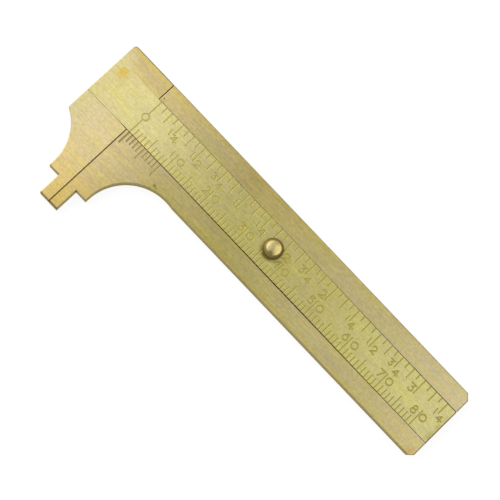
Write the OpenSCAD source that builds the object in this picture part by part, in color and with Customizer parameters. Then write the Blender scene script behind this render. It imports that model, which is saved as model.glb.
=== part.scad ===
// Brass sliding caliper gauge, shut, lying on its back.
// X runs along the scale bar towards the tail, Y up from the jaws to the inch scale, and
// Z out of the front face. The construction is drawn from the fixed jaw's measuring face,
// x = 0, and from the middle line of the bar, y = 0, and is then moved so that the origin
// is under the middle of the whole gauge.

/* [Body] */
// Length of the body, from its measuring face to its tail
body_len = 85.8; // [85:0.1:120]
// Width of each rail's front face
rail_w = 4.2; // [3.4:0.05:7]
// Thickness of the back plate
plate_t = 1; // [0.8:0.05:2]
// Thickness of the rails above the back plate
rail_t = 2; // [1.8:0.05:4]
// Cut across the upper corner of the tail
tail_cut_upper = 1.1; // [0.3:0.1:2]
// Cut across the lower corner of the tail
tail_cut_lower = 0.8; // [0.3:0.1:2]

/* [Scale bar] */
// Width of the bar's front face
bar_w = 8.65; // [7.5:0.05:12]
// Gap along each side of the bar in its channel
side_gap = 0.1; // [0.03:0.01:0.2]
// Gap between the bar and the channel's floor
under_gap = 0.05; // [0.03:0.01:0.15]
// How far the bar's dovetail edge reaches under each rail
undercut = 0.5; // [0.2:0.05:1]
// How far the bar slides out, which is also the length of the millimetre scale
travel = 80; // [50:1:82]

/* [Head] */
// Length of the head, from the fixed jaw's measuring face to the head's end
head_len = 11.1; // [9:0.1:14]
// Gap that the shut jaws show between their measuring faces
jaw_gap = 0.1; // [0.05:0.01:0.3]
// Gap between the head block and the end of the upper rail when the jaws are shut
notch_gap = 0.22; // [0.1:0.01:0.5]
// Radius of the head's upper outer corner
head_corner_r = 0.7; // [0.2:0.1:2]

/* [Jaws] */
// Reach of the jaws, from the lower edge of the body to their ends
jaw_reach = 16.8; // [16.5:0.1:24]
// Length of the fixed jaw's narrow tip
tip_len = 5.3; // [2:0.05:5.5]
// Length of the moving jaw's narrow tip
moving_tip_len = 5.05; // [2:0.05:5.5]
// Half the width of both tips together
tip_half_w = 2.3; // [1.5:0.01:4]
// Half the width of both shoulders together
shoulder_half_w = 5; // [4.2:0.01:7]
// Radius of the hollow on the outside of each jaw
jaw_arc_r = 10.9; // [8:0.1:11.5]
// How far the hollow beside the fixed jaw is cut into the body's lower edge
arc_overcut = 0.15; // [0.02:0.01:0.3]
// How far the saw cut between the jaws lies from their middle, towards the tail
saw_offset = 0.17; // [0:0.01:0.8]

/* [Scales] */
// Distance of the zero line from the measuring face
zero_x = 0.85; // [0.5:0.05:1.5]
// Width of a stamped line
mark_w = 0.2; // [0.1:0.01:0.3]
// Depth of a stamped line
mark_depth = 0.15; // [0.05:0.01:0.3]
// Lengths of the 1 mm, 5 mm and 10 mm lines
mm_lengths = [1.55, 2.75, 3.85]; // [0.5:0.05:4]
// Number of sixteenths on the inch scale
inch_marks = 52; // [32:1:53]
// Lengths of the 1/16, 1/8, 1/4, 1/2 and 1 inch lines
inch_lengths = [1.3, 2.55, 2.85, 3.7, 3.7]; // [0.5:0.05:4]
// Lengths of the short and long vernier lines
vernier_lengths = [1.65, 2.8]; // [0.5:0.05:4]
// Outer diameter of the ring that marks zero
zero_ring_d = 1.65; // [1:0.05:2.5]

/* [Thumb knob] */
// Distance of the knob from the measuring face when the jaws are shut
knob_x = 37.15; // [15:0.05:70]
// Distance of the knob above the middle line of the bar
knob_y = 0.2; // [0:0.05:0.4]
// Diameter of the knob's foot
knob_foot_d = 4.4; // [3.5:0.1:6]
// Thickness of the knob's foot
knob_foot_h = 0.45; // [0.3:0.05:1]
// Diameter of the groove above the foot
knob_groove_d = 3.6; // [2.6:0.1:4]
// Width of the groove above the foot
knob_groove_h = 0.25; // [0.2:0.05:0.8]
// Diameter of the knob's grip
knob_grip_d = 4.1; // [3.5:0.1:6]
// Height of the knob's grip
knob_grip_h = 1.3; // [1:0.05:4]
// Rounding of the grip's top edge
knob_round = 0.55; // [0.2:0.05:0.9]
// Diameter of the shank that holds the knob in the bar
knob_shank_d = 1.8; // [1.2:0.1:2]
// Diameter of the shank's spread end
knob_end_d = 2.6; // [2.3:0.1:3]

/* [Rivets] */
// Diameter of a rivet
rivet_d = 1.4; // [1:0.1:1.6]
// Diameter of a rivet's spread head
rivet_head_d = 2.2; // [1.8:0.1:2.6]
// Depth of every countersink
sink_h = 0.4; // [0.2:0.05:0.6]
// How far a rivet goes into a rail, a jaw, the bar or the head block
rivet_depth = 1.2; // [0.8:0.05:1.5]
// Number of rivets along each rail
rail_rivets = 5; // [3:1:8]
// Distance of the first and last rivet from the ends of a rail
rivet_inset = 7; // [5:0.5:12]
// Distance of the jaws' rivets from the middle of the jaws
jaw_rivet_x = 2.7; // [2:0.1:3.2]
// Distances of the jaws' rivets below the body's lower edge
jaw_rivet_drops = [3.4, 8.6]; // [2:0.1:9.5]
// Gap round each rivet, shank and peg that is seated in a hole
seat_gap = 0.02; // [0.01:0.01:0.05]

/* [Stop and spring] */
// Distance of the stop peg from the measuring face
peg_x = 3; // [2.5:0.1:4]
// Distance of the stop peg from the middle line of the bar
peg_y = 2.4; // [2:0.1:3]
// Diameter of the stop peg
peg_d = 1.4; // [1:0.1:1.6]
// Height of the stop peg above the channel's floor
peg_h = 0.8; // [0.5:0.05:1]
// Gap round the stop peg in the bar's groove
peg_gap = 0.15; // [0.1:0.01:0.3]
// Length of the friction spring
spring_len = 7.4; // [5:0.1:8]
// Width of the friction spring
spring_w = 2.4; // [1.5:0.1:3]
// Thickness of the friction spring
spring_t = 0.15; // [0.1:0.01:0.2]
// Depth of the spring's pocket in the back plate
pocket_depth = 0.35; // [0.25:0.05:0.5]
// Gap round the spring in its pocket
pocket_gap = 0.12; // [0.05:0.01:0.3]
// Gap that is left between the spring and the bar
spring_play = 0.03; // [0.02:0.01:0.05]

/* [Hidden] */
$fn = 96;

mm_pitch = 1;
inch_pitch = 25.4 / 16;
vernier_parts = 10;
vernier_pitch = 0.9 * mm_pitch;

thickness = plate_t + rail_t;
channel_w = bar_w + 2 * side_gap;
body_half_w = channel_w / 2 + rail_w;
bar_floor = plate_t + under_gap;
rail_start = notch_gap - jaw_gap;
overlap = 1;

jaw_end_y = -body_half_w - jaw_reach;
arc_y = -body_half_w - jaw_arc_r + arc_overcut;
arc_x = shoulder_half_w + jaw_arc_r;

middle_x = (body_len - head_len) / 2;
middle_y = (body_half_w + jaw_end_y) / 2;

rail_rivet_y = (channel_w / 2 + undercut + body_half_w) / 2;
rail_rivet_x = [
    for (i = [0 : rail_rivets - 1])
        rivet_inset + i * (body_len - 2 * rivet_inset) / (rail_rivets - 1)
];
head_mid_x = -(head_len + jaw_gap) / 2;

spring_y = -1.6;
spring_x = zero_x + pocket_gap + spring_len / 2 + 0.4;
spring_floor = plate_t - pocket_depth;
spring_rise = bar_floor - spring_play - spring_floor - spring_t;
spring_r = spring_len * spring_len / (8 * spring_rise) + spring_rise / 2;

rail_colour = "#cbb47a";
bar_colour = "#bdb765";
rivet_colour = "#c2ab6c";
knob_colour = "#c9b267";
spring_colour = "#b07a45";

// Half the width of the bar's dovetail at height z, plus a gap
function dovetail(z, gap) = bar_w / 2 + gap + undercut * (thickness - z) / rail_t;

// Moves what is drawn from the measuring face and the bar's middle line to the origin
module in_frame() {
    translate([-middle_x, -middle_y, 0]) children();
}

// Prism with the bar's dovetail section, from x0 to x1 and from z0 up to z1
module dovetail_prism(x0, x1, z0, z1, gap) {
    translate([x0, 0, 0])
        rotate([90, 0, 90])
            linear_extrude(x1 - x0)
                polygon([
                    [-dovetail(z0, gap), z0],
                    [dovetail(z0, gap), z0],
                    [dovetail(z1, gap), z1],
                    [-dovetail(z1, gap), z1]
                ]);
}

// Rivet with its spread head flush in the back face; a gap turns it into its own hole
module rivet(d, head_d, h, gap = 0) {
    translate([0, 0, -gap]) cylinder(d = d + 2 * gap, h = h + 2 * gap);
    translate([0, 0, -gap]) cylinder(d1 = head_d + 2 * gap, d2 = d + 2 * gap, h = sink_h);
}

module rivets_at(places, gap = 0) {
    for (p = places)
        translate([p[0], p[1], 0])
            rivet(rivet_d, rivet_head_d, plate_t + rivet_depth, gap);
}

function rail_places(side) = [for (x = rail_rivet_x) [x, side * rail_rivet_y]];
function jaw_places(side) = [
    for (drop = jaw_rivet_drops) [side * jaw_rivet_x - saw_offset, -body_half_w - drop]
];
head_block_places = [[head_mid_x, rail_rivet_y]];
head_bar_places = [[head_mid_x - head_len / 4, 0], [head_mid_x + head_len / 4, 0]];
moving_jaw_places = concat([[head_mid_x, -rail_rivet_y]], jaw_places(-1));
fixed_jaw_places = concat(rail_places(-1), jaw_places(1));

// What the outer hollow and the two steps take away beside a jaw, on the side given
module beside_jaw_2d(side) {
    far = arc_x + body_len;
    translate([-saw_offset, 0]) {
        translate([side * arc_x, arc_y]) circle(r = jaw_arc_r, $fn = 180);
        mirror([side < 0 ? 1 : 0, 0]) {
            translate([shoulder_half_w, jaw_end_y - overlap])
                square([far, arc_y - jaw_end_y + overlap]);
            translate([tip_half_w, jaw_end_y - overlap])
                square([far, (side < 0 ? moving_tip_len : tip_len) + overlap]);
        }
    }
}

// Outline of the body: a straight strip with cut tail corners, and the fixed jaw below it
module body_2d(x0) {
    difference() {
        union() {
            polygon([
                [x0, -body_half_w],
                [body_len - tail_cut_lower, -body_half_w],
                [body_len, -body_half_w + tail_cut_lower],
                [body_len, body_half_w - tail_cut_upper],
                [body_len - tail_cut_upper, body_half_w],
                [x0, body_half_w]
            ]);
            translate([0, jaw_end_y]) square([arc_x - saw_offset, -jaw_end_y]);
        }
        beside_jaw_2d(1);
    }
}

// Outline of the head, with the moving jaw below it
module head_2d() {
    difference() {
        union() {
            translate([-head_len, jaw_end_y])
                square([head_len - jaw_gap, body_half_w - head_corner_r - jaw_end_y]);
            translate([-head_len + head_corner_r, 0])
                square([head_len - jaw_gap - head_corner_r, body_half_w]);
            translate([-head_len + head_corner_r, body_half_w - head_corner_r])
                circle(r = head_corner_r);
        }
        beside_jaw_2d(-1);
    }
}

// Space above or below the bar's middle line, for splitting an outline into its strips
module half_2d(side) {
    reach = body_len + head_len;
    translate([-reach, side > 0 ? 0 : -reach]) square([2 * reach, reach]);
}

// One stamped line, from the edge at y towards the side given
module mark(x, y, side, length) {
    translate([x - mark_w / 2, side > 0 ? y - overlap : y - length, thickness - mark_depth])
        cube([mark_w, length + overlap, mark_depth + overlap]);
}

function mm_length(i) = i % 10 == 0 ? mm_lengths[2] : i % 5 == 0 ? mm_lengths[1] : mm_lengths[0];
function inch_length(i) =
    i % 16 == 0 ? inch_lengths[4]
    : i % 8 == 0 ? inch_lengths[3]
    : i % 4 == 0 ? inch_lengths[2]
    : i % 2 == 0 ? inch_lengths[1]
    : inch_lengths[0];

module millimetre_scale() {
    for (i = [1 : floor(travel / mm_pitch)])
        mark(zero_x + i * mm_pitch, -bar_w / 2, 1, mm_length(i));
}

module inch_scale() {
    for (i = [1 : inch_marks])
        mark(zero_x + i * inch_pitch, bar_w / 2, -1, inch_length(i));
}

// Zero line across the bar, which a ring in its middle breaks
module zero_mark() {
    ring_r = zero_ring_d / 2;
    line_length = bar_w / 2 - ring_r + mark_w / 2;
    mark(zero_x, bar_w / 2, -1, line_length);
    mark(zero_x, -bar_w / 2, 1, line_length);
    translate([zero_x, 0, thickness - mark_depth])
        difference() {
            cylinder(r = ring_r, h = mark_depth + overlap);
            translate([0, 0, -overlap])
                cylinder(r = ring_r - mark_w, h = mark_depth + 3 * overlap);
        }
}

module vernier_scale() {
    for (i = [0 : vernier_parts])
        mark(zero_x + i * vernier_pitch, -channel_w / 2, -1,
            i % 5 == 0 ? vernier_lengths[1] : vernier_lengths[0]);
}

module back_plate() {
    pocket = [spring_len + 2 * pocket_gap, spring_w + 2 * pocket_gap];
    color(rail_colour) in_frame()
        difference() {
            linear_extrude(plate_t) body_2d(0);
            rivets_at(rail_places(1), seat_gap);
            rivets_at(fixed_jaw_places, seat_gap);
            translate([peg_x, peg_y, 0]) rivet(peg_d, rivet_head_d, plate_t + peg_h, seat_gap);
            translate([spring_x - pocket[0] / 2, spring_y - pocket[1] / 2, spring_floor])
                cube([pocket[0], pocket[1], pocket_depth + overlap]);
        }
}

module upper_rail() {
    color(rail_colour) in_frame()
        difference() {
            translate([0, 0, plate_t])
                linear_extrude(rail_t)
                    intersection() {
                        body_2d(rail_start);
                        half_2d(1);
                    }
            dovetail_prism(-overlap, body_len + overlap,
                plate_t - overlap, thickness + overlap, side_gap);
            rivets_at(rail_places(1), seat_gap);
        }
}

module fixed_jaw_rail() {
    color(rail_colour) in_frame()
        difference() {
            translate([0, 0, plate_t])
                linear_extrude(rail_t)
                    intersection() {
                        body_2d(0);
                        half_2d(-1);
                    }
            dovetail_prism(-overlap, body_len + overlap,
                plate_t - overlap, thickness + overlap, side_gap);
            rivets_at(fixed_jaw_places, seat_gap);
            vernier_scale();
        }
}

module upper_rail_rivets() {
    color(rivet_colour) in_frame() rivets_at(rail_places(1));
}

module lower_rail_rivets() {
    color(rivet_colour) in_frame() rivets_at(fixed_jaw_places);
}

module stop_peg() {
    color(rivet_colour) in_frame()
        translate([peg_x, peg_y, 0]) rivet(peg_d, rivet_head_d, plate_t + peg_h);
}

module friction_spring() {
    color(spring_colour) in_frame()
        translate([spring_x, spring_y + spring_w / 2, spring_floor + spring_rise - spring_r])
            rotate([90, 0, 0])
                linear_extrude(spring_w)
                    intersection() {
                        difference() {
                            circle(r = spring_r + spring_t);
                            circle(r = spring_r);
                        }
                        translate([-spring_len / 2, 0])
                            square([spring_len, spring_r + spring_t + overlap]);
                    }
}

// Groove under the bar that the stop peg runs in
module peg_groove() {
    groove_r = peg_d / 2 + peg_gap;
    groove_top = plate_t + peg_h + peg_gap;
    translate([peg_x, peg_y, bar_floor - overlap])
        linear_extrude(groove_top - bar_floor + overlap) {
            circle(r = groove_r);
            translate([travel, 0]) circle(r = groove_r);
            translate([0, -groove_r]) square([travel, 2 * groove_r]);
        }
}

// Shank of the knob with its spread end flush under the bar; a gap turns it into its hole
module knob_shank(gap = 0) {
    translate([0, 0, bar_floor - gap])
        cylinder(d = knob_shank_d + 2 * gap, h = thickness - bar_floor + 2 * gap);
    translate([0, 0, bar_floor - gap])
        cylinder(d1 = knob_end_d + 2 * gap, d2 = knob_shank_d + 2 * gap, h = sink_h);
}

module scale_bar() {
    color(bar_colour) in_frame()
        difference() {
            dovetail_prism(-head_len, body_len, bar_floor, thickness, 0);
            peg_groove();
            translate([knob_x, knob_y, 0]) knob_shank(seat_gap);
            rivets_at(head_bar_places, seat_gap);
            millimetre_scale();
            inch_scale();
            zero_mark();
        }
}

// Strip of the head above or below the bar, fitted tight against the bar's dovetail
module head_strip(side) {
    difference() {
        translate([0, 0, bar_floor])
            linear_extrude(thickness - bar_floor)
                intersection() {
                    head_2d();
                    half_2d(side);
                }
        dovetail_prism(-head_len - overlap, overlap,
            bar_floor - overlap, thickness + overlap, 0);
    }
}

module head_block() {
    color(rail_colour) in_frame()
        difference() {
            head_strip(1);
            rivets_at(head_block_places, seat_gap);
        }
}

module moving_jaw() {
    color(rail_colour) in_frame()
        difference() {
            head_strip(-1);
            rivets_at(moving_jaw_places, seat_gap);
        }
}

module head_back_plate() {
    color(rail_colour) in_frame()
        difference() {
            linear_extrude(bar_floor) head_2d();
            rivets_at(head_block_places, seat_gap);
            rivets_at(head_bar_places, seat_gap);
            rivets_at(moving_jaw_places, seat_gap);
        }
}

module head_rivets() {
    color(rivet_colour) in_frame() {
        rivets_at(head_block_places);
        rivets_at(head_bar_places);
        rivets_at(moving_jaw_places);
    }
}

module thumb_knob() {
    groove_z = knob_foot_h + knob_groove_h;
    grip_r = knob_grip_d / 2;
    color(knob_colour) in_frame()
        translate([knob_x, knob_y, 0]) {
            knob_shank();
            translate([0, 0, thickness])
                rotate_extrude() {
                    square([knob_foot_d / 2, knob_foot_h]);
                    square([knob_groove_d / 2, groove_z]);
                    translate([0, groove_z]) square([grip_r, knob_grip_h - knob_round]);
                    translate([0, groove_z]) square([grip_r - knob_round, knob_grip_h]);
                    intersection() {
                        translate([grip_r - knob_round, groove_z + knob_grip_h - knob_round])
                            circle(r = knob_round);
                        square([grip_r, groove_z + knob_grip_h]);
                    }
                }
        }
}

back_plate();
upper_rail();
fixed_jaw_rail();
upper_rail_rivets();
lower_rail_rivets();
stop_peg();
friction_spring();
scale_bar();
head_block();
moving_jaw();
head_back_plate();
head_rivets();
thumb_knob();
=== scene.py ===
# %% [markdown]
# # A brass sliding caliper gauge, dressed in Blender
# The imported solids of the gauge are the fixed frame. This lesson replaces the faces that
# show with finer pieces: rubbed edges, stamped lines and numbers, brushed brass and a
# turned knob. Lengths are written in millimetres, measured as on the bench: x from the
# fixed jaw's measuring face, y from the middle of the bar, z up from the back face.

import math

import bmesh
import bpy
from mathutils import Matrix, Vector


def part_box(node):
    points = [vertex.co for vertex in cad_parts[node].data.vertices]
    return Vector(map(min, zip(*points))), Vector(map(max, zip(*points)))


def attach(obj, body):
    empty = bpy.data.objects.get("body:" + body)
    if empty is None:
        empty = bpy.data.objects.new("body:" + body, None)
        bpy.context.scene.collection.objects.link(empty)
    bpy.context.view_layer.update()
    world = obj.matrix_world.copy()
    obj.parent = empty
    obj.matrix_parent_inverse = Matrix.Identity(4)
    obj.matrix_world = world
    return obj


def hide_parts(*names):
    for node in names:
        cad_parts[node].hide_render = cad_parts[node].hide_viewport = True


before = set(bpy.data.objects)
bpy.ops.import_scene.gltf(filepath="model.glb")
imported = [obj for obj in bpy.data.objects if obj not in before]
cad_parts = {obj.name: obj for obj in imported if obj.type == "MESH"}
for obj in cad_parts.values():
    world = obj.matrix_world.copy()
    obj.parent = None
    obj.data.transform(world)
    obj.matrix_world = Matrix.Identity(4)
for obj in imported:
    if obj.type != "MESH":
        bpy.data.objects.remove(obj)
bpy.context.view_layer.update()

# %% [markdown]
# The solids say where the bench zero lies in the frame: the fixed jaw starts at x = 0, and
# the bar's own middle is y = 0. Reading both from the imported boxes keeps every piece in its
# place if the solids are ever moved.

# %% From bench millimetres to the frame
MM = 0.001
jaw_low, jaw_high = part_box("fixed_jaw_rail")
bar_low, bar_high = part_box("scale_bar")
rail_low, rail_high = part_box("upper_rail")
knob_low, knob_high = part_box("thumb_knob")
BENCH_ZERO = Vector((jaw_low.x, (bar_low.y + bar_high.y) / 2, 0))


def in_mm(corner):
    """A corner of a node's box, in bench millimetres."""
    return (corner - BENCH_ZERO) / MM


BODY_END = in_mm(jaw_high).x
HEAD_END = in_mm(bar_low).x
JAW_TIP_Y = in_mm(jaw_low).y
HALF_BODY = in_mm(rail_high).y
RAIL_START = in_mm(rail_low).x - 0.08
FACE_Z = in_mm(jaw_high).z
PLATE_Z = in_mm(jaw_low).z
BAR_Z = in_mm(bar_low).z
KNOB_X, KNOB_Y = in_mm((knob_low + knob_high) / 2).xy
KNOB_TOP = in_mm(knob_high).z
print("body end %.2f, head end %.2f, jaw tip %.2f, half width %.3f, face %.2f mm"
      % (BODY_END, HEAD_END, JAW_TIP_Y, HALF_BODY, FACE_Z))

# %% [markdown]
# A colour is written as the sRGB hex value that a paint program shows. Shaders work with
# linear light, so one function turns the first into the second.

# %% Colours and nodes


def linear(hex_colour):
    """Linear RGBA from an sRGB hex colour."""
    parts = [int(hex_colour[i:i + 2], 16) / 255 for i in (1, 3, 5)]
    curve = [p / 12.92 if p <= 0.04045 else ((p + 0.055) / 1.055) ** 2.4 for p in parts]
    return (*curve, 1)


def add_node(tree, kind, settings=None, **links):
    """Adds a shader node. Settings are its properties; links are its inputs by name, each
    a number, a vector, a colour or another node's output."""
    node = tree.nodes.new(kind)
    for key, value in (settings or {}).items():
        setattr(node, key, value)
    for key, value in links.items():
        name = key.replace("_", " ")
        spot = node.inputs[int(name[1:])] if name[1:].isdigit() else node.inputs[name]
        if isinstance(value, bpy.types.NodeSocket):
            tree.links.new(value, spot)
        else:
            spot.default_value = value
    return node


# %% [markdown]
# The photograph looks down on the gauge from a little below it, along the bar at 46 degrees
# across the frame. The camera's place was worked out from the scale itself: its lines are a
# known distance apart, and the side faces that show tell how far the camera leans.

# %% Camera
CAMERA_MM = (36.927, -51.008, 323.0)
CAMERA_TURN = (0.10865, -0.10118, 0.80455)
CAMERA_ZOOM = 1634.662
FRAME_PIXELS = 500

camera_data = bpy.data.cameras.new("bench_camera")
camera = bpy.data.objects.new("bench_camera", camera_data)
bpy.context.scene.collection.objects.link(camera)
camera_data.sensor_width = 36
camera_data.lens = CAMERA_ZOOM * camera_data.sensor_width / FRAME_PIXELS
camera_data.clip_start = 0.01
turn = (Matrix.Rotation(CAMERA_TURN[2], 4, "Z") @ Matrix.Rotation(CAMERA_TURN[1], 4, "Y")
        @ Matrix.Rotation(CAMERA_TURN[0], 4, "X"))
camera.matrix_world = Matrix.Translation(BENCH_ZERO + Vector(CAMERA_MM) * MM) @ turn
bpy.context.scene.camera = camera
print("camera %.0f mm above the face, lens %.1f mm" % (CAMERA_MM[2] - FACE_Z, camera_data.lens))

# %% [markdown]
# The gauge lies on a white sheet. The sheet is plain matt white, and to the camera it adds a
# little of its own light, so that it reads as the photograph's clean white and still keeps
# a soft shadow. A dim, even world fills in from all round.

# %% Floor and world
SHEET_SIZE = 4.0
bpy.context.scene.view_settings.view_transform = "Standard"


def make_sheet():
    mesh = bpy.data.meshes.new("white_sheet")
    half = SHEET_SIZE / 2
    mesh.from_pydata([(-half, -half, 0), (half, -half, 0), (half, half, 0), (-half, half, 0)],
                     [], [(0, 1, 2, 3)])
    sheet = bpy.data.objects.new("white_sheet", mesh)
    bpy.context.scene.collection.objects.link(sheet)
    sheet.location.z = -0.00002
    paper = bpy.data.materials.new("matt_white_paper")
    paper.use_nodes = True
    tree = paper.node_tree
    tree.nodes.clear()
    rays = add_node(tree, "ShaderNodeLightPath")
    seen = add_node(tree, "ShaderNodeMath", {"operation": "MAXIMUM"},
                    _0=rays.outputs["Is Camera Ray"], _1=rays.outputs["Is Glossy Ray"])
    seen = add_node(tree, "ShaderNodeMath", {"operation": "MAXIMUM"},
                    _0=seen.outputs[0], _1=rays.outputs["Is Transmission Ray"])
    share = add_node(tree, "ShaderNodeMath", {"operation": "MULTIPLY"},
                     _0=seen.outputs[0], _1=0.75)
    matt = add_node(tree, "ShaderNodeBsdfDiffuse", Color=(0.9, 0.9, 0.9, 1))
    white = add_node(tree, "ShaderNodeEmission", Color=(1, 1, 1, 1), Strength=1.14)
    mix = add_node(tree, "ShaderNodeMixShader", _0=share.outputs[0], _1=matt.outputs[0],
                   _2=white.outputs[0])
    add_node(tree, "ShaderNodeOutputMaterial", Surface=mix.outputs[0])
    mesh.materials.append(paper)


make_sheet()

AIR_FROM = (-0.97, -0.24, 0)
AIR_DARK, AIR_BRIGHT = 0.36, 0.92


def make_air():
    """A world that is brighter to the side of the lamps than away from them."""
    world = bpy.data.worlds.new("studio_air")
    bpy.context.scene.world = world
    world.use_nodes = True
    tree = world.node_tree
    tree.nodes.clear()
    way = add_node(tree, "ShaderNodeTexCoord")
    toward = add_node(tree, "ShaderNodeVectorMath", {"operation": "DOT_PRODUCT"},
                      _0=way.outputs["Generated"], _1=AIR_FROM)
    level = add_node(tree, "ShaderNodeMapRange", Value=toward.outputs["Value"],
                     From_Min=-1.0, From_Max=1.0, To_Min=AIR_DARK, To_Max=AIR_BRIGHT)
    air = add_node(tree, "ShaderNodeBackground", Color=(1, 1, 1, 1),
                   Strength=level.outputs[0])
    add_node(tree, "ShaderNodeOutputWorld", Surface=air.outputs[0])


make_air()

# %% [markdown]
# Brushed metal shows what is above it as a broad blur. One wide lamp hangs over the head
# end and one over the tail, so that the middle of the gauge mirrors the dimmer air between
# them, as in the photograph.

# %% Lamps


def hang_lamp(name, place_mm, aim_mm, size_mm, watts):
    """A square soft lamp at place, facing aim."""
    data = bpy.data.lights.new(name, "AREA")
    data.shape = "SQUARE"
    data.size = size_mm * MM
    data.energy = watts
    lamp = bpy.data.objects.new(name, data)
    bpy.context.scene.collection.objects.link(lamp)
    place = BENCH_ZERO + Vector(place_mm) * MM
    way = BENCH_ZERO + Vector(aim_mm) * MM - place
    lamp.location = place
    lamp.rotation_euler = way.to_track_quat("-Z", "Y").to_euler()
    return lamp


hang_lamp("lamp_head", (-260, 60, 480), (0, 0, 0), 380, 0.4)
hang_lamp("lamp_tail", (260, 180, 620), (60, 0, 0), 380, 0.36)
hang_lamp("lamp_low", (-380, -60, 270), (30, 0, 0), 300, 0.2)

# %% [markdown]
# ## Brass
# The gauge is cartridge brass, sawn from sheet and brushed lengthwise on fine paper. The
# brush lines stretch the highlights across the bar. It is paler at the head and the tail than
# in the middle: partly wear, where fingers and pouches rub, and partly painted light for the
# lamps over the two ends. Its side faces are covered with a darker brown, partly tarnished
# metal and partly painted shade on the sides turned away from the lamps, and its stamped
# lines stay thinly tarnished brown. Dark lines of painted shade, with some soiling, run
# along its ends, its jaw tips, the head's top edge and the jaws' gap.
# Brush lines on such a part are about 0.05 mm apart, which is too fine to show here, so
# they are drawn 0.25 mm apart.

# %% The brass recipe
# side-face colour: tarnished metal and painted shade
WALL_TARNISH_AND_SHADE = "#B4A981"
# dark lines along edges and in the jaws' gap: painted shade, with some soiling
EDGE_SHADE_AND_GRIME = "#523C12"
EDGE_SHADE_AND_GRIME_DEPTH = 0.7
BRUSH_LINE_MM = 0.3
BRUSH_LENGTH_MM = 7.0
PATCH_MM = (9.0, 1.6, 1.6)
PIT_MM = (0.6, 0.4, 0.4)
ROSE, GOLD = (0.97, 0.95, 1.10, 1), (1.03, 1.03, 0.86, 1)


def ramp_of(tree, fac, stops):
    """A colour ramp through (position, hex colour) stops."""
    ramp = add_node(tree, "ShaderNodeValToRGB", Fac=fac)
    band = ramp.color_ramp
    while len(band.elements) < len(stops):
        band.elements.new(0.5)
    for element, (at, colour) in zip(band.elements, stops):
        element.position = at
        element.color = linear(colour)
    return ramp.outputs["Color"]


def bench_place(tree):
    """The shaded point in bench millimetres, whole and as x, y and z."""
    spot = add_node(tree, "ShaderNodeTexCoord")
    place = add_node(tree, "ShaderNodeVectorMath", {"operation": "MULTIPLY_ADD"},
                     _0=spot.outputs["Object"], _1=(1 / MM, 1 / MM, 1 / MM),
                     _2=tuple(-BENCH_ZERO / MM))
    return spot, place.outputs[0], add_node(tree, "ShaderNodeSeparateXYZ",
                                            Vector=place.outputs[0])


def stretched_noise(tree, place, sizes_mm, detail, roughness=0.55):
    """Noise whose features are about as large as sizes_mm along x, y and z."""
    spread = add_node(tree, "ShaderNodeVectorMath", {"operation": "MULTIPLY"},
                      _0=place, _1=tuple(1 / size for size in sizes_mm))
    return add_node(tree, "ShaderNodeTexNoise", Vector=spread.outputs[0], Scale=1.0,
                    Detail=detail, Roughness=roughness).outputs["Fac"]


def tinted(tree, colour, fac, low, high):
    """The colour times a tint that goes from low to high with fac."""
    tint = add_node(tree, "ShaderNodeMix", {"data_type": "RGBA"}, _0=fac, _6=low, _7=high)
    return add_node(tree, "ShaderNodeVectorMath", {"operation": "MULTIPLY"},
                    _0=colour, _1=tint.outputs[2]).outputs[0]


def covered(tree, colour, fac, cover):
    """The colour, covered with a hex colour where fac is 1."""
    return add_node(tree, "ShaderNodeMix", {"data_type": "RGBA"}, _0=fac, _6=colour,
                    _7=linear(cover)).outputs[2]


def blotted(tree, colour, place, spots):
    """The colour with soft round spots, each (x, y, z, radius, hex colour, strength)."""
    for x, y, z, radius, cover, strength in spots:
        away = add_node(tree, "ShaderNodeVectorMath", {"operation": "DISTANCE"},
                        _0=place, _1=(x, y, z))
        blot = add_node(tree, "ShaderNodeMapRange", {"interpolation_type": "SMOOTHSTEP"},
                        Value=away.outputs["Value"], From_Min=radius,
                        From_Max=radius * 0.3, To_Min=0.0, To_Max=strength)
        colour = covered(tree, colour, blot.outputs[0], cover)
    return colour


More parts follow.
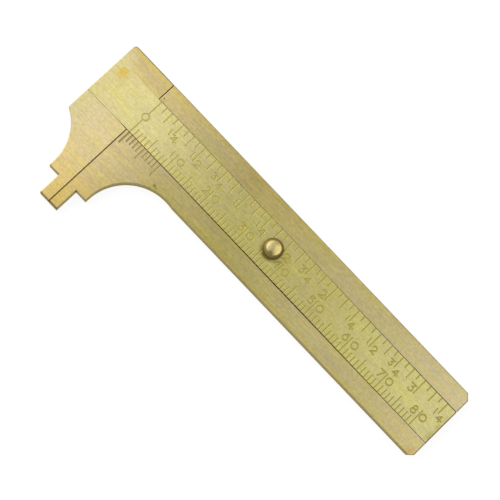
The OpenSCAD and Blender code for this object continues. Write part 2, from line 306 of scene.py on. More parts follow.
def brushed_brass(name, fade, tarnish_and_shade, roughness=0.36, warm_tips=None, gold_edges=0.0,
                  shade_and_grime=(), spots=()):
    """Brass brushed along x. Fade is its colour from the head's end to the tail, as
    (bench x, hex colour) stops, paler at the ends partly by painted light. The side colour
    covers the side faces turned away from the lamps, tarnished metal and painted shade both;
    the dark lines, each (axis, place, reach, strength), are painted shade with some soiling;
    spots are (x, y, radius, hex colour, strength)."""
    material = bpy.data.materials.new(name)
    material.use_nodes = True
    tree = material.node_tree
    tree.nodes.clear()
    spot, place, apart = bench_place(tree)
    # the fade along x is partly painted light: paler at the head and the tail, under the lamps
    span = add_node(tree, "ShaderNodeMapRange", Value=apart.outputs["X"],
                    From_Min=HEAD_END, From_Max=BODY_END)
    stops = [((x - HEAD_END) / (BODY_END - HEAD_END), c) for x, c in fade]
    colour = ramp_of(tree, span.outputs[0], stops)

    if warm_tips:
        warm = add_node(tree, "ShaderNodeMapRange", {"interpolation_type": "SMOOTHSTEP"},
                        Value=apart.outputs["Y"], From_Min=-9.0, From_Max=JAW_TIP_Y,
                        To_Min=0.0, To_Max=0.8)
        colour = covered(tree, colour, warm.outputs[0], warm_tips)

    if gold_edges:
        far = add_node(tree, "ShaderNodeMath", {"operation": "ABSOLUTE"},
                       _0=apart.outputs["Y"])
        edge = add_node(tree, "ShaderNodeMapRange", {"interpolation_type": "SMOOTHSTEP"},
                        Value=far.outputs[0], From_Min=HALF_BODY - 1.6,
                        From_Max=HALF_BODY - 0.2, To_Min=0.0, To_Max=gold_edges)
        above = add_node(tree, "ShaderNodeMapRange", Value=apart.outputs["Y"],
                         From_Min=-1.0, From_Max=1.0)
        along = add_node(tree, "ShaderNodeMapRange", Value=apart.outputs["X"],
                         From_Min=8.0, From_Max=18.0)
        where = add_node(tree, "ShaderNodeMath", {"operation": "MAXIMUM"},
                         _0=above.outputs[0], _1=along.outputs[0])
        edge = add_node(tree, "ShaderNodeMath", {"operation": "MULTIPLY"},
                        _0=edge.outputs[0], _1=where.outputs[0])
        colour = tinted(tree, colour, edge.outputs[0], (1, 1, 1, 1), (1.02, 1.0, 0.72, 1))

    colour = blotted(tree, colour, place, [(x, y, FACE_Z, *rest) for x, y, *rest in spots])

    # Painted shade, partly tarnished metal: steep side faces take the side colour, in base
    # colour and edge tint, except those facing -x, towards the lamps, which keep the face
    # colour.
    facing = add_node(tree, "ShaderNodeSeparateXYZ", Vector=spot.outputs["Normal"])
    up = add_node(tree, "ShaderNodeMath", {"operation": "ABSOLUTE"}, _0=facing.outputs["Z"])
    side = add_node(tree, "ShaderNodeMapRange", {"interpolation_type": "SMOOTHSTEP"},
                    Value=up.outputs[0], From_Min=0.99, From_Max=0.91)
    away_from_lamps = add_node(tree, "ShaderNodeMapRange", Value=facing.outputs["X"],
                    From_Min=-0.4, From_Max=-0.1)
    side = add_node(tree, "ShaderNodeMath", {"operation": "MULTIPLY"},
                    _0=side.outputs[0], _1=away_from_lamps.outputs[0])
    colour = covered(tree, colour, side.outputs[0], tarnish_and_shade)
    sheen = covered(tree, (1, 1, 1, 1), side.outputs[0], tarnish_and_shade)

    patches = stretched_noise(tree, place, PATCH_MM, 4.0)
    lines = stretched_noise(tree, place, (BRUSH_LENGTH_MM, BRUSH_LINE_MM, BRUSH_LINE_MM),
                            3.0, 0.65)
    mottle = add_node(tree, "ShaderNodeMapRange", Value=patches, From_Min=0.32,
                      From_Max=0.68)
    colour = tinted(tree, colour, mottle.outputs[0], ROSE, GOLD)
    streak = add_node(tree, "ShaderNodeMapRange", Value=lines, From_Min=0.25, From_Max=0.75)
    colour = tinted(tree, colour, streak.outputs[0], (0.87, 0.87, 0.84, 1),
                    (1.13, 1.13, 1.16, 1))
    pits = stretched_noise(tree, place, PIT_MM, 3.0, 0.7)
    speck = add_node(tree, "ShaderNodeMapRange", Value=pits, From_Min=0.3, From_Max=0.7)
    colour = tinted(tree, colour, speck.outputs[0], (0.86, 0.87, 0.82, 1),
                    (1.14, 1.13, 1.18, 1))

    # Painted shade, with some soiling: dark lines along the ends, the jaw tips, the head's top
    # edge and the jaws' gap, where edges and gaps fall into shade; they fade out 0.7 mm under
    # the face.
    deep = add_node(tree, "ShaderNodeMapRange", {"interpolation_type": "SMOOTHSTEP"},
                    Value=apart.outputs["Z"], From_Min=FACE_Z - EDGE_SHADE_AND_GRIME_DEPTH,
                    From_Max=FACE_Z - EDGE_SHADE_AND_GRIME_DEPTH / 2)
    for axis, at, reach, strength in shade_and_grime:
        off = add_node(tree, "ShaderNodeMath", {"operation": "SUBTRACT"},
                       _0=apart.outputs[axis], _1=at)
        off = add_node(tree, "ShaderNodeMath", {"operation": "ABSOLUTE"},
                       _0=off.outputs[0])
        shade_and_dirt = add_node(tree, "ShaderNodeMapRange", {"interpolation_type": "SMOOTHSTEP"},
                        Value=off.outputs[0], From_Min=reach, From_Max=reach * 0.6,
                        To_Min=0.0, To_Max=strength)
        shade_and_dirt = add_node(tree, "ShaderNodeMath", {"operation": "MULTIPLY"},
                        _0=shade_and_dirt.outputs[0], _1=deep.outputs[0])
        colour = covered(tree, colour, shade_and_dirt.outputs[0], EDGE_SHADE_AND_GRIME)
        sheen = covered(tree, sheen, shade_and_dirt.outputs[0], EDGE_SHADE_AND_GRIME)

    rough = add_node(tree, "ShaderNodeMapRange", Value=lines, From_Min=0.3, From_Max=0.7,
                     To_Min=roughness - 0.05, To_Max=roughness + 0.05)
    bump = add_node(tree, "ShaderNodeBump", Strength=0.2, Distance=0.00002, Height=lines)
    metal = add_node(tree, "ShaderNodeBsdfPrincipled", Base_Color=colour, Metallic=1.0,
                     Roughness=rough.outputs[0], Specular_Tint=sheen,
                     Normal=bump.outputs[0])
    add_node(tree, "ShaderNodeOutputMaterial", Surface=metal.outputs[0])
    return material


upper_brass = brushed_brass(
    "brushed_brass_upper_rail",
    [(0, "#D0BD84"), (14, "#BCAE79"), (24, "#B4A468"), (50, "#BDB077"), (62, "#BCAF7F"),
     (BODY_END, "#CBBE90")],
    tarnish_and_shade=WALL_TARNISH_AND_SHADE, gold_edges=0.8, shade_and_grime=[("X", BODY_END, 0.26, 0.4)],
    spots=[(0.6, 5.3, 0.22, "#5A4A2A", 0.85)])
lower_brass = brushed_brass(
    "brushed_brass_lower_rail",
    [(0, "#D7C590"), (13, "#BBAC76"), (30, "#B1A664"), (54, "#BEB27E"), (66, "#BDB07A"),
     (BODY_END, "#CBBC8A")],
    tarnish_and_shade=WALL_TARNISH_AND_SHADE, warm_tips="#D6BA6C", gold_edges=0.8,
    shade_and_grime=[("X", 0, 0.17, 0.75), ("X", BODY_END, 0.26, 0.5), ("Y", JAW_TIP_Y, 0.36, 0.6)],
    spots=[(11.95, -8.2, 0.5, "#7A5F34", 0.7), (12.5, -8.4, 0.4, "#7A5F34", 0.55),
           (84.7, -8.0, 1.6, "#C9A860", 0.6)])
jaw_brass = brushed_brass(
    "brushed_brass_moving_jaw",
    [(HEAD_END, "#D3C793"), (-5, "#DCCB98"), (0, "#DCCB93")], tarnish_and_shade=WALL_TARNISH_AND_SHADE,
    warm_tips="#DDC072", shade_and_grime=[("X", 0, 0.17, 0.75), ("Y", JAW_TIP_Y, 0.36, 0.45)])
block_brass = brushed_brass(
    "brushed_brass_head_block",
    [(HEAD_END, "#CDBB80"), (0, "#CDBB80")], tarnish_and_shade=WALL_TARNISH_AND_SHADE, gold_edges=0.8,
    shade_and_grime=[("Y", HALF_BODY, 0.28, 0.4)],
    spots=[(-10.9, 4.7, 4.2, "#D8CB9A", 0.8), (-6.5, 3.6, 2.6, "#D8C88C", 0.7),
           (-2.5, 3.4, 2.4, "#D8C88C", 0.6)])
bar_brass = brushed_brass(
    "brushed_brass_bar",
    [(HEAD_END, "#D5C98B"), (-4, "#DCD093"), (4, "#DCD193"), (15, "#C8BE7F"),
     (26, "#BBB371"), (52, "#BEB573"), (60, "#C4BD7A"), (BODY_END, "#CDC687")],
    tarnish_and_shade="#90834A", shade_and_grime=[("X", BODY_END, 0.3, 0.6)],
    spots=[(-8.75, 2.95, 1.7, "#D6BC5A", 0.9), (-8.2, 1.6, 1.4, "#D8BE80", 0.35),
           (7.4, 1.65, 0.26, "#4E4A26", 0.9), (29.7, -0.95, 0.6, "#C9A550", 0.6),
           (40.2, 0.7, 1.9, "#B79F4E", 0.35), (85.6, -3.0, 1.7, "#A0964A", 0.5),
           (85.7, -0.6, 1.4, "#A0964A", 0.4), (85.7, 1.6, 1.1, "#A0964A", 0.3),
           # painted shadow: a dark blot round the knob's foot, reaching past its lower side
           # onto the bar
           (KNOB_X - 0.05, KNOB_Y - 0.65, 2.6, "#3E3A18", 1.0)])

# %% [markdown]
# The small parts are the same metal with another finish: the knob was turned and polished,
# the rivets were filed flush, and the spring is a strip of rolled bronze. The knob's turned
# ring is painted darker, and its groove and the underside of its foot darker still, tarnished
# metal and painted shade both. Tarnish fills each stamped line, which is what makes the
# scale easy to read.

# %% Finishes of the small parts


def fine_metal(name, fade, roughness, mottle_mm=0.6, depth=0.06, spots=()):
    """A metal with fine mottling of the size given. Fade is one hex colour, or (bench x,
    hex colour) stops."""
    material = bpy.data.materials.new(name)
    material.use_nodes = True
    tree = material.node_tree
    tree.nodes.clear()
    spot, place, apart = bench_place(tree)
    if isinstance(fade, str):
        fade = [(HEAD_END, fade), (BODY_END, fade)]
    span = add_node(tree, "ShaderNodeMapRange", Value=apart.outputs["X"],
                    From_Min=HEAD_END, From_Max=BODY_END)
    colour = ramp_of(tree, span.outputs[0],
                     [((x - HEAD_END) / (BODY_END - HEAD_END), c) for x, c in fade])
    mottle = stretched_noise(tree, place, (mottle_mm,) * 3, 2.0)
    tone = add_node(tree, "ShaderNodeMapRange", Value=mottle, From_Min=0.3, From_Max=0.7)
    colour = tinted(tree, colour, tone.outputs[0], (1 - depth, 1 - depth, 1 - depth, 1),
                    (1 + depth, 1 + depth, 1 + depth, 1))
    colour = blotted(tree, colour, place, spots)
    rough = add_node(tree, "ShaderNodeMapRange", Value=mottle, From_Min=0.3, From_Max=0.7,
                     To_Min=roughness * 0.9, To_Max=roughness * 1.1)
    metal = add_node(tree, "ShaderNodeBsdfPrincipled", Base_Color=colour, Metallic=1.0,
                     Roughness=rough.outputs[0])
    add_node(tree, "ShaderNodeOutputMaterial", Surface=metal.outputs[0])
    return material


bar_line_brass = fine_metal("punched_brass_on_bar", [(HEAD_END, "#D7C97F"), (6, "#D7C97F"),
                                                     (20, "#CFC571"), (50, "#C6BC66"),
                                                     (BODY_END, "#C1B566")], 0.5)
vernier_line_brass = fine_metal("punched_brass_in_vernier", [(HEAD_END, "#B09A64"),
                                                             (0, "#B09A64"), (4, "#C8B682"),
                                                             (BODY_END, "#C8B682")], 0.5)
# the turned ring is darkened: partly tarnished, partly a painted dark reflection of what lies
# round it
knob_brass = fine_metal("turned_brass", "#928148", 0.3)
# groove and foot underside: painted shade, with a painted contact shadow under the foot, on
# tarnished metal
knob_shaded_and_tarnished_brass = fine_metal("shaded_and_tarnished_brass", "#4E421E", 0.4)
knob_polish = fine_metal("polished_brass", "#CDBB7C", 0.2, spots=[
    # painted reflection: a dark blot on the lower side of the polished top; painted highlight:
    # a pale blot on its left
    (KNOB_X + 0.2, KNOB_Y - 1.35, KNOB_TOP, 0.9, "#8B7A48", 0.85),
    (KNOB_X - 0.9, KNOB_Y - 0.65, KNOB_TOP, 1.0, "#F0E2A6", 0.6)])
rivet_brass = fine_metal("filed_brass", "#C2AB6C", 0.4)
spring_bronze = fine_metal("rolled_bronze", "#B07A45", 0.3)

# %% [markdown]
# ## Flat pieces
# Each flat piece is a sawn outline with a second one under it. Along the channel the lower
# outline reaches further, which makes the dovetail. Two outlines with the same number of
# corners join into one closed solid, and a bevel then rubs down the edges that a file and
# a pocket would.

# %% Outlines
EDGE_X = (0, 20, 45, 65, BODY_END)
CHANNEL_UP = (4.45, 4.47, 4.41, 4.28, 4.26)
BAR_UP = (4.41, 4.44, 4.39, 4.22, 4.14)
BAR_LOW = (-4.36, -4.33, -4.35, -4.42, -4.45)
CHANNEL_LOW = (-4.46, -4.47, -4.55, -4.55, -4.51)
HEAD_SEAM_Y = -4.52
SEAM_CRACK = 0.015
SEAM_OPEN, SEAM_OPEN_X = 0.16, -2.4
UNDERCUT = 0.5
TIP_LEN, MOVING_TIP_LEN = 5.3, 5.05
TIP_HALF, SHOULDER_HALF = 2.3, 5.0
ARC_R, ARC_OVERCUT = 10.9, 0.15
SAW_OFFSET, JAW_GAP = 0.17, 0.1
SHUT_GAP = 0.015
HEAD_CORNER_R = 0.7
TAIL_CUT_UPPER, TAIL_CUT_LOWER = 1.1, 0.8
ARC_Y = -HALF_BODY - ARC_R + ARC_OVERCUT
ARC_X = SHOULDER_HALF + ARC_R
ARC_STEPS = 40


def reach_under(z):
    """How far a dovetail edge has leant out at height z."""
    return UNDERCUT * (FACE_Z - z) / (FACE_Z - PLATE_Z)


def leant(outline, z, gap_x=None):
    """The outline at height z: its corners along the channel lean out under the face. A
    face at gap_x leans until it all but touches the piece across the jaws' gap."""
    edge = HALF_BODY - 2.5
    shut = -SHUT_GAP if gap_x is None or gap_x < 0 else SHUT_GAP
    return [(shut if gap_x is not None and abs(x - gap_x) < 0.001 else x,
             y + math.copysign(reach_under(z), y) if abs(y) < edge else y)
            for x, y in outline]


def jaw_outline(side, far_x):
    """Corners from the tip's end round the shoulder and the hollow, up to the body's
    lower edge; side is 1 for the fixed jaw and -1 for the moving one."""
    step_y = JAW_TIP_Y + (TIP_LEN if side > 0 else MOVING_TIP_LEN)
    corners = [(side * TIP_HALF, JAW_TIP_Y), (side * TIP_HALF, step_y),
               (side * SHOULDER_HALF, step_y), (side * SHOULDER_HALF, ARC_Y)]
    if side > 0:
        last = math.pi / 2 + math.acos((-HALF_BODY - ARC_Y) / ARC_R)
    else:
        last = math.acos((ARC_X - far_x) / ARC_R)
    for i in range(1, ARC_STEPS + 1):
        t = last * i / ARC_STEPS
        corners.append((side * (ARC_X - ARC_R * math.cos(t)), ARC_Y + ARC_R * math.sin(t)))
    return [(x - SAW_OFFSET, y) for x, y in corners]


def plate(name, upper, lower, z_upper, z_lower):
    """A closed mesh, in millimetres, between two outlines with matching corners."""
    mesh = bmesh.new()
    high = [mesh.verts.new((x, y, z_upper)) for x, y in upper]
    low = [mesh.verts.new((x, y, z_lower)) for x, y in lower]
    mesh.faces.new(high)
    mesh.faces.new(reversed(low))
    for i in range(len(high)):
        j = (i + 1) % len(high)
        mesh.faces.new((high[j], high[i], low[i], low[j]))
    bmesh.ops.recalc_face_normals(mesh, faces=mesh.faces)
    return mesh


def rub(mesh, width, picked, steps=2):
    """Bevels the edges for which picked(middle, direction) is true."""
    edges = []
    for edge in mesh.edges:
        a, b = (v.co for v in edge.verts)
        if picked((a + b) / 2, (b - a).normalized()):
            edges.append(edge)
    bmesh.ops.bevel(mesh, geom=edges, offset=width, offset_type="OFFSET", segments=steps,
                    profile=0.5, affect="EDGES", clamp_overlap=True)


def finish_piece(name, mesh, body, nodes, materials):
    """Turns a mesh in bench millimetres into a piece of the gauge."""
    data = bpy.data.meshes.new(name)
    if isinstance(mesh, bmesh.types.BMesh):
        mesh.to_mesh(data)
        mesh.free()
    else:
        data = mesh
        data.name = name
    data.transform(Matrix.Translation(BENCH_ZERO) @ Matrix.Scale(MM, 4))
    check = bmesh.new()
    check.from_mesh(data)
    open_edges = sum(not edge.is_manifold for edge in check.edges)
    check.free()
    piece = bpy.data.objects.new(name, data)
    bpy.context.scene.collection.objects.link(piece)
    while len(data.materials) < len(materials):
        data.materials.append(None)
    for i, material in enumerate(materials):
        data.materials[i] = material
    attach(piece, body)
    if nodes:
        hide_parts(*nodes)
    print(name, "faces:", len(data.polygons), "open edges:", open_edges)
    return piece


# %% [markdown]
# ## Stamping
# The lines and numbers were struck with steel punches, which leave a narrow trench with
# sloping sides. Here a punch is a thin wedge swept along a stroke, and a boolean takes all
# the wedges out of the piece in one go. Strokes that cross go in separate passes, because
# each pass needs a tool that doesn't cut itself.

# %% Punches
LINE_WIDTH, LINE_DEPTH = 0.36, 0.09
PROUD = 0.02
PANEL_MM = 3


def punch(mesh, stroke, width=LINE_WIDTH, depth=LINE_DEPTH, closed=False):
    """Adds a wedge along a stroke of (x, y) points: wide at the face, narrow below it."""
    points = [Vector(p) for p in stroke]
    count = len(points)
    rings = []
    for i, p in enumerate(points):
        before = points[i - 1] if i or closed else None
        after = points[(i + 1) % count] if i < count - 1 or closed else None
        ways = [w.normalized() for w in ((p - before) if before is not None else None,
                                         (after - p) if after is not None else None)
                if w is not None]
        along = sum(ways, Vector((0, 0))).normalized()
        across = Vector((-along.y, along.x))
        square = Vector((-ways[0].y, ways[0].x))
        stretch = 1 / max(0.5, across.dot(square))
        slope = (width / 2 - width / 8) / depth
        ring = []
        for side in (-1, 1):
            for half, z in ((width / 8, FACE_Z - depth),
                            (width / 2 + slope * PROUD, FACE_Z + PROUD)):
                end = Vector((0, 0))
                if not closed and i in (0, count - 1):
                    end = along * (half - width / 8) * (-1 if i == 0 else 1)
                flat = p + across * side * half * stretch + end
                ring.append(mesh.verts.new((flat.x, flat.y, z)))
        rings.append((ring[0], ring[1], ring[3], ring[2]))
    steps = range(count if closed else count - 1)
    for i in steps:
        a, b = rings[i], rings[(i + 1) % count]
        for k in range(4):
            j = (k + 1) % 4
            mesh.faces.new((a[k], a[j], b[j], b[k]))
    if not closed:
        mesh.faces.new(rings[0])
        mesh.faces.new(reversed(rings[-1]))


def stamp(mesh, passes):
    """Takes each pass of punches out of a mesh and returns the result as mesh data. The
    piece is first cut into short panels, so that no face has to hold hundreds of marks."""
    length = int(BODY_END - HEAD_END)
    for i in range(PANEL_MM, length, PANEL_MM):
        bmesh.ops.bisect_plane(mesh, geom=mesh.verts[:] + mesh.edges[:] + mesh.faces[:],
                               plane_co=(HEAD_END + i, 0, 0), plane_no=(1, 0, 0))
    bmesh.ops.triangulate(mesh, faces=mesh.faces[:])
    data = bpy.data.meshes.new("blank")
    mesh.to_mesh(data)
    mesh.free()
    blank = bpy.data.objects.new("blank", data)
    bpy.context.scene.collection.objects.link(blank)
    for tool_mesh in passes:
        bmesh.ops.recalc_face_normals(tool_mesh, faces=tool_mesh.faces)
        for face in tool_mesh.faces:
            face.material_index = 1
        tool_data = bpy.data.meshes.new("punches")
        tool_mesh.to_mesh(tool_data)
        tool_mesh.free()
        tool = bpy.data.objects.new("punches", tool_data)
        bpy.context.scene.collection.objects.link(tool)
        for d in (blank.data, tool_data):
            while len(d.materials) < 2:
                d.materials.append(None)
        cut = blank.modifiers.new("stamp", "BOOLEAN")
        cut.operation = "DIFFERENCE"
        cut.solver = "MANIFOLD"
        cut.object = tool
        graph = bpy.context.evaluated_depsgraph_get()
        result = bpy.data.meshes.new_from_object(blank.evaluated_get(graph))
        blank.modifiers.clear()
        blank.data = result
        bpy.data.objects.remove(tool)
    result = blank.data
    bpy.data.objects.remove(blank)
    return result


# %% [markdown]
# The numbers are plain upright punches. Each is a list of strokes in a box one unit high,
# with its middle at 0, 0, and each stroke is a row of points or a ring.

# %% Numbers


def arc(cx, cy, rx, ry, start, end, steps=10):
    """Points on an oval arc, in degrees, counter-clockwise from the right."""
    turns = [math.radians(start + (end - start) * i / steps) for i in range(steps + 1)]
    return [(cx + rx * math.cos(t), cy + ry * math.sin(t)) for t in turns]


NUMBERS = {
    "0": [("ring", arc(0, 0, 0.46, 0.46, 0, 345, 23))],
    "1": [("line", [(-0.05, 0.5), (0.05, -0.5)])],
    "2": [("line", arc(-0.02, 0.2, 0.34, 0.3, 160, -25, 10) + [(-0.36, -0.46), (0.4, -0.46)])],
    "3": [("line", [(-0.36, 0.48), (0.32, 0.48), (0.0, 0.1)]
           + arc(-0.02, -0.19, 0.33, 0.29, 75, -150, 12))],
    "4": [("line", [(0.14, 0.5), (0.14, -0.5)]),
          ("line", [(0.02, 0.44), (-0.46, -0.18), (0.46, -0.18)])],
    "5": [("line", [(0.32, 0.47), (-0.2, 0.47), (-0.26, 0.06)]
           + arc(0.0, -0.18, 0.33, 0.3, 120, -145, 12))],
    "6": [("line", [(0.22, 0.5), (-0.08, 0.3), (-0.28, 0.06)]),
          ("ring", arc(0, -0.16, 0.36, 0.33, 0, 342, 19))],
    "7": [("line", [(-0.36, 0.47), (0.36, 0.47), (-0.14, -0.5)])],
    "8": [("ring", arc(0, 0.27, 0.27, 0.22, 0, 340, 18)),
          ("ring", arc(0, -0.23, 0.34, 0.27, 0, 342, 19))],
}


def strike(passes, number, x, y, height, width=LINE_WIDTH, depth=LINE_DEPTH):
    """Puts a number's strokes into the passes, one stroke a pass."""
    for layer, (form, points) in enumerate(NUMBERS[number]):
        row = [(x + px * height, y + py * height) for px, py in points]
        punch(passes[1 + layer], row, width, depth, closed=form == "ring")


# %% [markdown]
# ## The scale bar
# The bar is a long dovetail key, planed to slide in the channel. Its lower edge carries
# millimetres and its upper edge sixteenths of an inch, both from one zero line that a ring
# breaks. The marks run off the edge, as they do under a dividing machine.

# %% Scale bar
ZERO_X = 0.85
MM_LENGTHS = (1.55, 2.75, 3.85)
INCH_LENGTHS = (1.3, 2.55, 2.85, 3.7)
INCH_MARKS = 52
INCH = 25.4
ZERO_RING_R = 0.73
PEG_X, PEG_Y, TRAVEL = 3.0, 2.4, 80.0
GROOVE_W, GROOVE_TOP = 1.7, 1.95


def bar_blank():
    upper = ([(HEAD_END, HEAD_SEAM_Y)] + list(zip(EDGE_X, BAR_LOW))
             + list(zip(EDGE_X, BAR_UP))[::-1] + [(HEAD_END, BAR_UP[0])])
    mesh = plate("bar", upper, leant(upper, BAR_Z), FACE_Z, BAR_Z)
    rub(mesh, 0.16, lambda m, d: abs(d.z) < 0.5 and (m.x < HEAD_END + 0.01
                                                    or m.x > BODY_END - 0.01))
    rub(mesh, 0.055, lambda m, d: abs(m.z - FACE_Z) < 0.01 and abs(d.x) > 0.99
        and not (m.y > 0 and m.x < 0))
    return mesh


def peg_groove():
    """The groove under the bar in which the stop peg runs."""
    r = GROOVE_W / 2
    slot = (arc(PEG_X, PEG_Y, r, r, 90, 270, 12)
            + arc(PEG_X + TRAVEL, PEG_Y, r, r, -90, 90, 12))
    return plate("groove", slot, slot, GROOVE_TOP, PLATE_Z - 0.5)


def bar_marks(passes):
    top, low = BAR_UP[0], BAR_LOW[0]
    for i in range(1, 81):
        length = MM_LENGTHS[2 if i % 10 == 0 else 1 if i % 5 == 0 else 0]
        punch(passes[0], [(ZERO_X + i, low - 0.5), (ZERO_X + i, low + length)])
    for i in range(1, INCH_MARKS + 1):
        x = ZERO_X + i * INCH / 16
        kind = 3 if i % 8 == 0 else 2 if i % 4 == 0 else 1 if i % 2 == 0 else 0
        punch(passes[0], [(x, top + 0.5), (x, top - INCH_LENGTHS[kind])])
    for edge in (top + 0.5, low - 0.5):
        punch(passes[0], [(ZERO_X, edge), (ZERO_X, math.copysign(ZERO_RING_R, edge))])
    punch(passes[1], arc(ZERO_X, 0, ZERO_RING_R, ZERO_RING_R, 0, 350, 35), closed=True)


TENS = [("1", -0.95, -1.17, 1.42, -1.22), ("2", -1.1, -1.2, 1.5, -1.2),
        ("3", -1.0, -1.15, 1.48, -1.3), ("4", -0.95, -1.2, 1.42, -1.3),
        ("5", -1.1, -1.2, 1.4, -1.25), ("6", -1.1, -1.3, 1.4, -1.35),
        ("7", -1.15, -1.3, 1.28, -1.3), ("8", -1.4, -1.45, 1.0, -1.42)]
QUARTERS = [[("1", -0.8, 1.5, 1.15), ("4", 0.8, 1.0, 1.35)],
            [("1", -0.85, 1.6, 1.15), ("2", 1.2, 1.0, 1.5)],
            [("3", -1.1, 1.85, 1.3), ("4", 1.05, 1.05, 1.35)],
            [("1", -0.78, 1.35, 1.4)],
            [("1", -0.95, 1.6, 1.15), ("4", 0.8, 1.0, 1.35)],
            [("2", 1.3, 1.0, 1.5)],
            [("3", -1.1, 1.7, 1.5), ("4", 1.2, 0.95, 1.35)],
            [("2", -1.12, 1.25, 1.65)],
            [("1", -0.65, 1.5, 1.15), ("4", 0.95, 0.95, 1.35)],
            [("1", -0.82, 1.5, 1.15), ("2", 1.15, 0.9, 1.5)],
            [("3", -1.08, 1.75, 1.3), ("4", 1.08, 0.9, 1.35)],
            [("3", -1.08, 1.25, 1.65)],
            [("1", -0.72, 1.4, 1.3), ("4", 0.9, 0.85, 1.3)]]


def bar_numbers(passes):
    """The tens, each half left and half right of its line, and the quarters of an inch.
    They were set one by one, so that no two sit quite alike."""
    for i, (ten, ten_dx, ten_y, zero_dx, zero_y) in enumerate(TENS):
        x = ZERO_X + 10 * (i + 1)
        strike(passes, ten, x + ten_dx, ten_y, 1.6)
        strike(passes, "0", x + zero_dx, zero_y, 1.52)
    for i, label in enumerate(QUARTERS):
        x = ZERO_X + (i + 1) * INCH / 4
        for number, dx, y, height in label:
            strike(passes, number, x + dx, y, height)


def make_bar():
    passes = [bmesh.new() for _ in range(3)]
    bar_marks(passes)
    bar_numbers(passes)
    passes.append(peg_groove())
    return finish_piece("scale_bar_stamped", stamp(bar_blank(), passes), "slider",
                        ["scale_bar"], [bar_brass, bar_line_brass])


make_bar()

# %% [markdown]
# ## The body
# The two rails stand on the back plate with the channel between them. The lower one goes
# on into the fixed jaw, with a step and a narrow tip for reaching into small holes, and it
# carries the vernier: eleven lines 0.9 mm apart, which split a millimetre into tenths.

# %% Rails and fixed jaw
VERNIER_LENGTHS = (1.65, 2.8)
VERNIER_STEP = 0.9


def make_upper_rail():
    edge = [(max(x, RAIL_START), y) for x, y in zip(EDGE_X, CHANNEL_UP)]
    upper = edge + [(BODY_END, HALF_BODY - TAIL_CUT_UPPER),
                    (BODY_END - TAIL_CUT_UPPER, HALF_BODY), (RAIL_START, HALF_BODY)]
    mesh = plate("upper", upper, leant(upper, PLATE_Z, RAIL_START), FACE_Z, PLATE_Z)
    rub(mesh, 0.16, lambda m, d: abs(m.z - FACE_Z) < 0.01 and (m.y > 4.7
                                                              or m.x > BODY_END - 0.01))
    rub(mesh, 0.055, lambda m, d: abs(m.z - FACE_Z) < 0.01 and m.y < 4.5
        and abs(d.x) > 0.9)
    return finish_piece("upper_rail_rubbed", mesh, "fixed_body",
                        ["upper_rail"], [upper_brass])


def make_fixed_jaw():
    top = CHANNEL_LOW[0]
    upper = ([(0, top), (0, JAW_TIP_Y)] + jaw_outline(1, BODY_END)
             + [(BODY_END - TAIL_CUT_LOWER, -HALF_BODY),
                (BODY_END, -HALF_BODY + TAIL_CUT_LOWER)]
             + list(zip(EDGE_X, CHANNEL_LOW))[:0:-1])
    mesh = plate("fixed", upper, leant(upper, PLATE_Z), FACE_Z, PLATE_Z)
    rub(mesh, 0.14, lambda m, d: abs(m.z - FACE_Z) < 0.01 and m.y < -4.7 and m.x > 0.05)
    rub(mesh, 0.06, lambda m, d: abs(m.z - FACE_Z) < 0.01 and (m.x < 0.05
                                                              or m.y > -4.6))
    passes = [bmesh.new()]
    for i in range(11):
        x = ZERO_X + i * VERNIER_STEP
        length = VERNIER_LENGTHS[1 if i % 5 == 0 else 0]
        punch(passes[0], [(x, top + 0.5), (x, top - length)], 0.44, 0.11)
    return finish_piece("fixed_jaw_rubbed", stamp(mesh, passes), "fixed_body",
                        ["fixed_jaw_rail"], [lower_brass, vernier_line_brass])


make_upper_rail()
make_fixed_jaw()

# %% [markdown]
# ## The head
# The head is soldered to the bar: a block above it, and the moving jaw below it. The seam
# above the bar is tight and shows only as a change of tone, so that edge stays sharp.

# %% Head


def make_head_block():
    corner = [(HEAD_END + HEAD_CORNER_R + x, HALF_BODY - HEAD_CORNER_R + y)
              for x, y in arc(0, 0, HEAD_CORNER_R, HEAD_CORNER_R, 90, 180, 8)]
    upper = [(HEAD_END, BAR_UP[0]), (-JAW_GAP, BAR_UP[0]), (-JAW_GAP, HALF_BODY)] + corner
    mesh = plate("block", upper, leant(upper, BAR_Z, -JAW_GAP), FACE_Z, BAR_Z)
    rub(mesh, 0.16, lambda m, d: abs(m.z - FACE_Z) < 0.01 and m.y > 4.7 and m.x < -0.2)
    rub(mesh, 0.07, lambda m, d: abs(m.z - FACE_Z) < 0.01 and m.x > -0.2)
    return finish_piece("head_block_rubbed", mesh, "slider",
                        ["head_block"], [block_brass])


def make_moving_jaw():
    seam = [(x, BAR_LOW[0] + (HEAD_SEAM_Y - BAR_LOW[0]) * x / HEAD_END - gap)
            for x, gap in ((-JAW_GAP, SEAM_OPEN), (SEAM_OPEN_X, SEAM_CRACK),
                           (HEAD_END, SEAM_CRACK))]
    upper = (seam + jaw_outline(-1, -HEAD_END - SAW_OFFSET)[::-1]
             + [(-JAW_GAP, JAW_TIP_Y)])
    mesh = plate("moving", upper, leant(upper, BAR_Z, -JAW_GAP), FACE_Z, BAR_Z)
    rub(mesh, 0.14, lambda m, d: abs(m.z - FACE_Z) < 0.01 and m.y < -4.7 and m.x < -0.2)
    rub(mesh, 0.06, lambda m, d: abs(m.z - FACE_Z) < 0.01 and (m.x > -0.2
                                                              or m.y > -4.6))
    return finish_piece("moving_jaw_rubbed", mesh, "slider",
                        ["moving_jaw"], [jaw_brass])


make_head_block()
make_moving_jaw()

# %% [markdown]
# ## The thumb knob
# The knob was turned on a lathe: a foot, a narrow groove and a rounded grip with a polished
# flat on top. A profile spun round its axis is the natural way to make it.

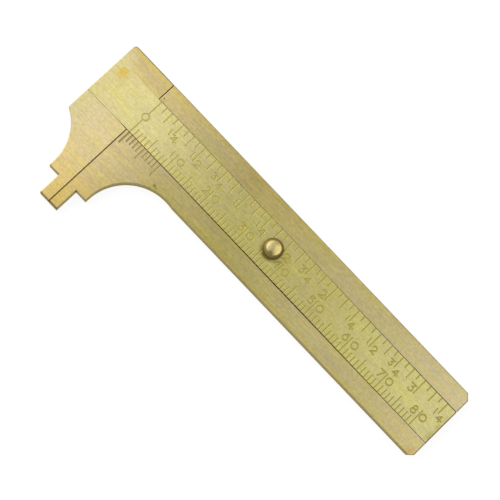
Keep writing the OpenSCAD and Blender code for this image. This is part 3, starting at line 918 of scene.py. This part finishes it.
# %% Thumb knob
KNOB_STEPS = 96
KNOB_PROFILE = [(0.0, -1.955), (1.3, -1.955), (0.9, -1.55), (0.9, 0.0), (2.1, 0.0),
                (2.17, 0.03), (2.2, 0.1), (2.2, 0.33), (2.16, 0.41), (2.08, 0.45),
                (1.86, 0.47), (1.8, 0.52), (1.8, 0.63), (1.85, 0.69), (1.95, 0.72),
                (2.02, 0.79), (2.05, 0.9), (2.05, 1.3), (2.03, 1.48), (1.95, 1.64),
                (1.82, 1.76), (1.64, 1.845), (1.5, 1.88), (1.44, 1.895), (1.2, 1.925),
                (0.9, 1.957), (0.6, 1.98), (0.3, 1.995), (0.0, 2.0)]
POLISHED_ABOVE = 1.87
SHADED_BELOW = 0.09


def make_knob():
    mesh = bmesh.new()
    rings = []
    for r, z in KNOB_PROFILE:
        if r == 0:
            rings.append([mesh.verts.new((KNOB_X, KNOB_Y, FACE_Z + z))])
            continue
        turns = [2 * math.pi * i / KNOB_STEPS for i in range(KNOB_STEPS)]
        rings.append([mesh.verts.new((KNOB_X + r * math.cos(t), KNOB_Y + r * math.sin(t),
                                      FACE_Z + z)) for t in turns])
    for k, (a, b) in enumerate(zip(rings, rings[1:])):
        for i in range(KNOB_STEPS):
            j = (i + 1) % KNOB_STEPS
            if len(a) == 1:
                face = mesh.faces.new((a[0], b[j], b[i]))
            elif len(b) == 1:
                face = mesh.faces.new((a[i], a[j], b[0]))
            else:
                face = mesh.faces.new((a[i], a[j], b[j], b[i]))
            face.smooth = k > 2
            height = KNOB_PROFILE[k][1]
            # the groove and the foot's lowest band take the darkest metal: painted shade
            face.material_index = (1 if height > POLISHED_ABOVE
                                   else 2 if height < SHADED_BELOW or 0.44 < height < 0.68
                                   else 0)
    bmesh.ops.recalc_face_normals(mesh, faces=mesh.faces)
    return finish_piece("thumb_knob_turned", mesh, "slider",
                        ["thumb_knob"], [knob_brass, knob_polish, knob_shaded_and_tarnished_brass])


make_knob()

# %% [markdown]
# ## What stays as solid
# The back plates, rivets, stop peg and spring already have their true shape in the solids.
# They keep it and only get their metal.

# %% Metals of the solids
SOLID_METALS = {
    "back_plate": lower_brass, "head_back_plate": lower_brass,
    "upper_rail_rivets": rivet_brass, "lower_rail_rivets": rivet_brass,
    "head_rivets": rivet_brass, "stop_peg": rivet_brass, "friction_spring": spring_bronze,
}
for node, metal in SOLID_METALS.items():
    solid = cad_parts[node]
    solid.data.materials.clear()
    solid.data.materials.append(metal)
print("solids with a metal of their own:", len(SOLID_METALS))
